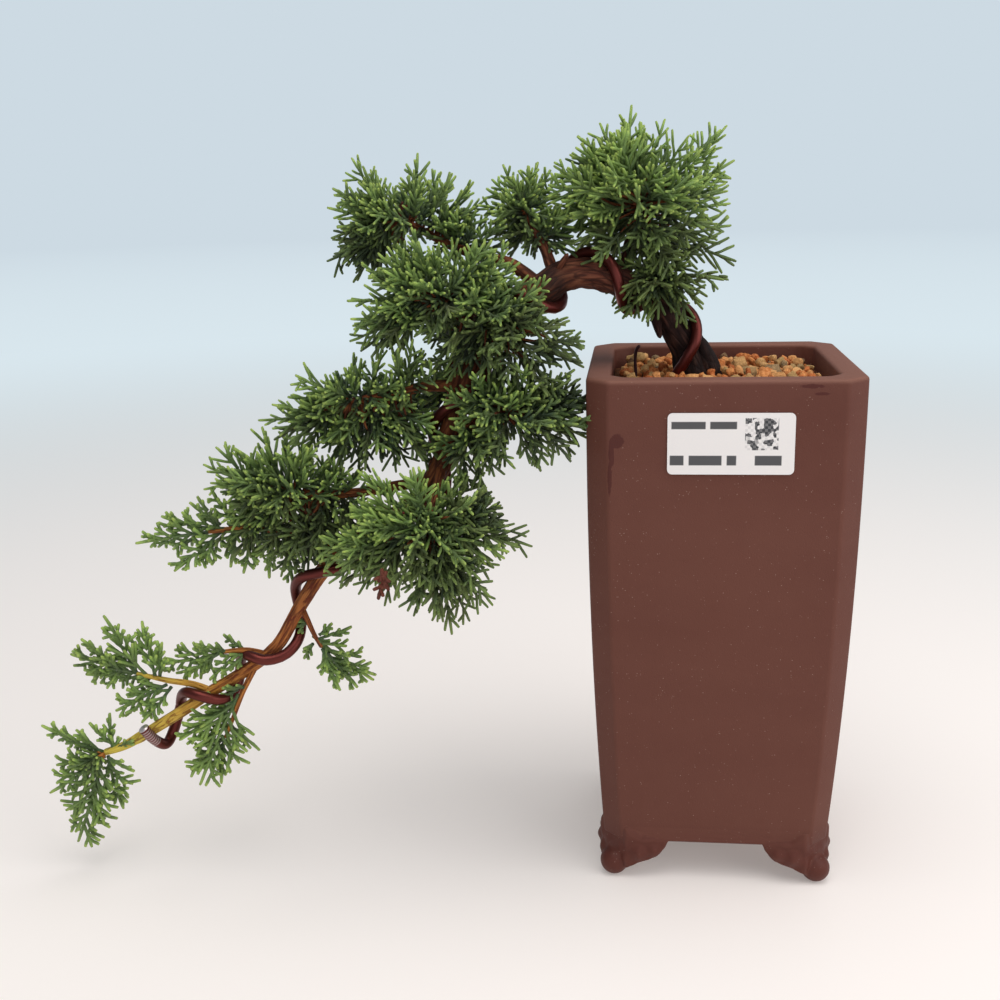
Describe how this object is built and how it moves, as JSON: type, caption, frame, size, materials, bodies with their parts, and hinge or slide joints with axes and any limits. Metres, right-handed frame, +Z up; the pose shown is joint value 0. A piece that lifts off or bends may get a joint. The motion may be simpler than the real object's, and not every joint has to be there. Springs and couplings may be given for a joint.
{
  "type": "bonsai tree in a pot",
  "caption": "Cascade juniper bonsai trained with a thick wire over the rim of a tall square clay pot with cut corners and cloud feet.",
  "frame": {"origin": "on the ground under the middle of the whole object's bounding box", "axes": "+Z up, +X away from the cascading tail, -Y towards the labelled front face"},
  "size_m": [0.3576, 0.145, 0.3325],
  "materials": {
    "clay": "matte unglazed red-brown stoneware",
    "label_paper": "smooth white sticker, blank",
    "mesh_plastic": "dark green net",
    "clip_wire": "plain wire",
    "drainage_grain": "coarse pumice grains",
    "soil": "packed fired-clay grains",
    "grain": "dry orange-brown grain",
    "bark": "flaking red-brown juniper bark, yellow-olive towards the tail",
    "training_wire": "glossy maroon anodised",
    "tie_wire": "dark brown anodised",
    "leaf": "scale-leaf juniper foliage"
  },
  "bodies": {
    "root": {"drainage_layer": "drainage_grain", "drainage_mesh": "mesh_plastic", "foliage_apex": "leaf", "foliage_back": "leaf", "foliage_centre": "leaf", "foliage_left": "leaf", "foliage_left_spray": "leaf", "foliage_lower_front": "leaf", "foliage_mid_left": "leaf", "foliage_right": "leaf", "foliage_tail_lower": "leaf", "foliage_tail_right": "leaf", "foliage_tail_small": "leaf", "foliage_tail_tip": "leaf", "foliage_tail_upper": "leaf", "foliage_upper_left": "leaf", "foliage_upper_small": "leaf", "granule_01": "grain", "granule_02": "grain", "granule_03": "grain", "granule_04": "grain", "granule_05": "grain", "granule_06": "grain", "granule_07": "grain", "granule_08": "grain", "granule_09": "grain", "granule_10": "grain", "granule_11": "grain", "granule_12": "grain", "granule_13": "grain", "granule_14": "grain", "granule_15": "grain", "granule_16": "grain", "granule_17": "grain", "granule_18": "grain", "label": "label_paper", "mesh_clip": "clip_wire", "pot": "clay", "soil": "soil", "tie_wire": "tie_wire", "trunk": "bark", "trunk_wire": "training_wire"}
  },
  "joints": []
}
